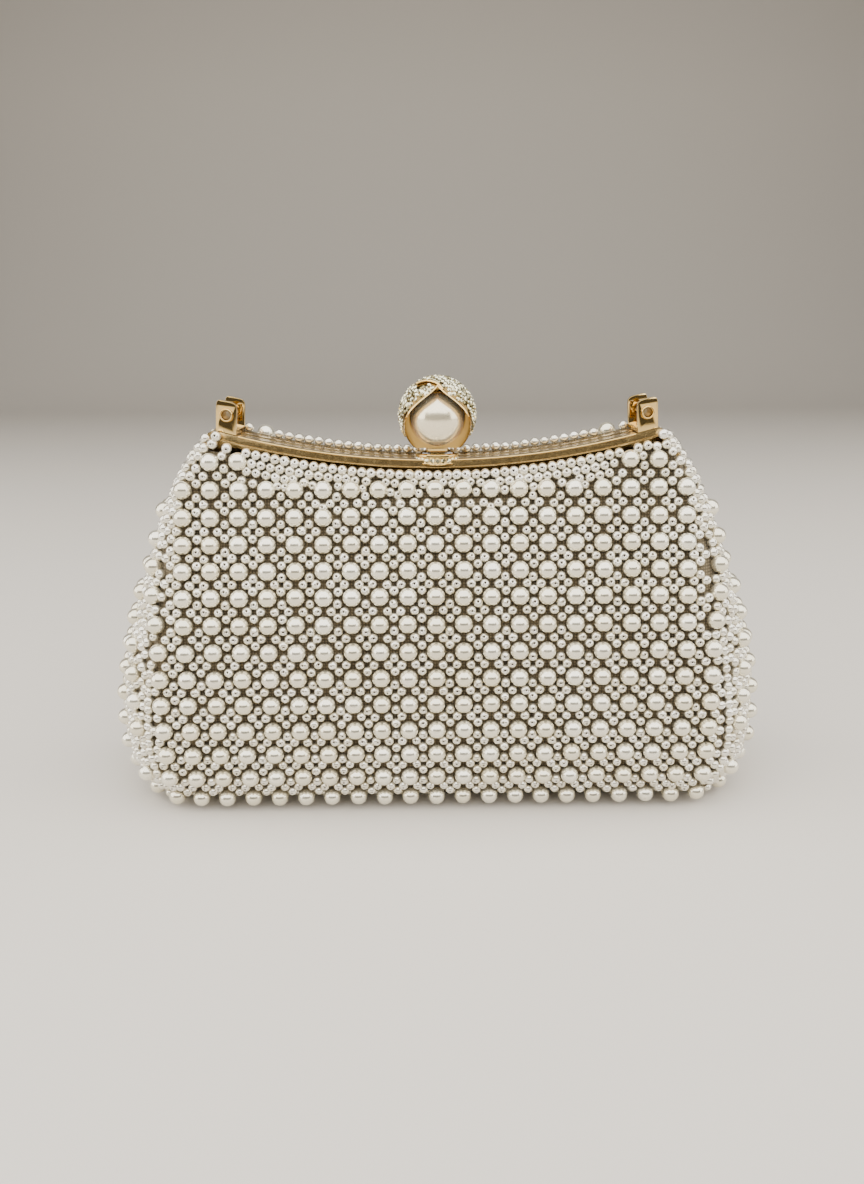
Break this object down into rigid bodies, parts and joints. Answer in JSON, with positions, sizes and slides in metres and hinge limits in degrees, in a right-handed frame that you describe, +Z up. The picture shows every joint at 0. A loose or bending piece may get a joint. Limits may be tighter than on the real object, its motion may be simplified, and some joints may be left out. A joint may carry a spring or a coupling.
{
  "type": "evening bag",
  "caption": "Pearl-beaded frame clutch with a curved two-half metal frame, a pearl-set bud clasp that tilts to release it, and two handle lugs.",
  "frame": {"origin": "on the floor, under the middle of the bag's base", "axes": "+Z up; -Y is the front, the side that the pearl in the clasp faces; +X is to the right seen from the front, along the mouth"},
  "size_m": [0.216, 0.062, 0.1375],
  "materials": {
    "beaded_cloth": "fine olive-beige woven backing cloth under dense ivory beadwork",
    "pearl": "glossy ivory nacre-coated imitation pearl",
    "seed_bead": "small glossy silvery ivory beads with a drilled hole",
    "rhinestone": "clear faceted chatons with foiled backs",
    "satin_lining": "champagne satin lining",
    "interlining": "soft needled felt interlining",
    "board": "matt grey-brown stiffener board",
    "paper_cord": "twisted paper cord",
    "satin_gold": "satin champagne gold plating with bright edges",
    "bright_gold": "polished light gold plating",
    "steel": "plain bright steel wire and pins"
  },
  "bodies": {
    "pouch": {"front_cover_lower": "beaded_cloth", "back_cover_lower": "beaded_cloth", "left_gusset": "beaded_cloth", "right_gusset": "beaded_cloth", "base_cover": "beaded_cloth", "base_board": "board", "pouch_interlining": "interlining", "pouch_lining": "satin_lining", "slip_pocket": "satin_lining", "left_hinge_rivet": "satin_gold", "right_hinge_rivet": "satin_gold"},
    "front_half": {"front_frame": "satin_gold", "front_frame_cord": "paper_cord", "front_cover_upper": "beaded_cloth", "front_interlining": "interlining", "front_lining": "satin_lining", "clasp_collar": "bright_gold", "clasp_pivot_pin": "steel"},
    "back_half": {"back_frame": "satin_gold", "back_frame_cord": "paper_cord", "back_cover_upper": "beaded_cloth", "back_interlining": "interlining", "back_lining": "satin_lining", "left_lug": "bright_gold", "right_lug": "bright_gold", "left_lug_pin": "bright_gold", "right_lug_pin": "bright_gold", "strike_plate": "satin_gold"},
    "clasp": {"clasp_left_petal": "bright_gold", "clasp_right_petal": "bright_gold", "clasp_rim": "bright_gold", "clasp_cup": "bright_gold", "clasp_pearl": "pearl", "pearl_post": "steel", "clasp_lever": "bright_gold", "clasp_spring": "steel"}
  },
  "joints": [
    {"name": "front_open", "type": "hinge", "parent": "pouch", "child": "front_half", "pos_m": [0, 0, 0.079], "axis": [1, 0, 0], "range_deg": [0, 30]},
    {"name": "back_open", "type": "hinge", "parent": "pouch", "child": "back_half", "pos_m": [0, 0, 0.079], "axis": [1, 0, 0], "range_deg": [-30, 0]},
    {"name": "clasp_tilt", "type": "hinge", "parent": "front_half", "child": "clasp", "pos_m": [0, -0.0025, 0.1131], "axis": [1, 0, 0], "range_deg": [0, 8], "stiffness_Nm_per_rad": 0.03, "springref_deg": -20.05}
  ],
  "couplings": [
    {"joint": "back_open", "follows": "front_open", "ratio": -1}
  ]
}
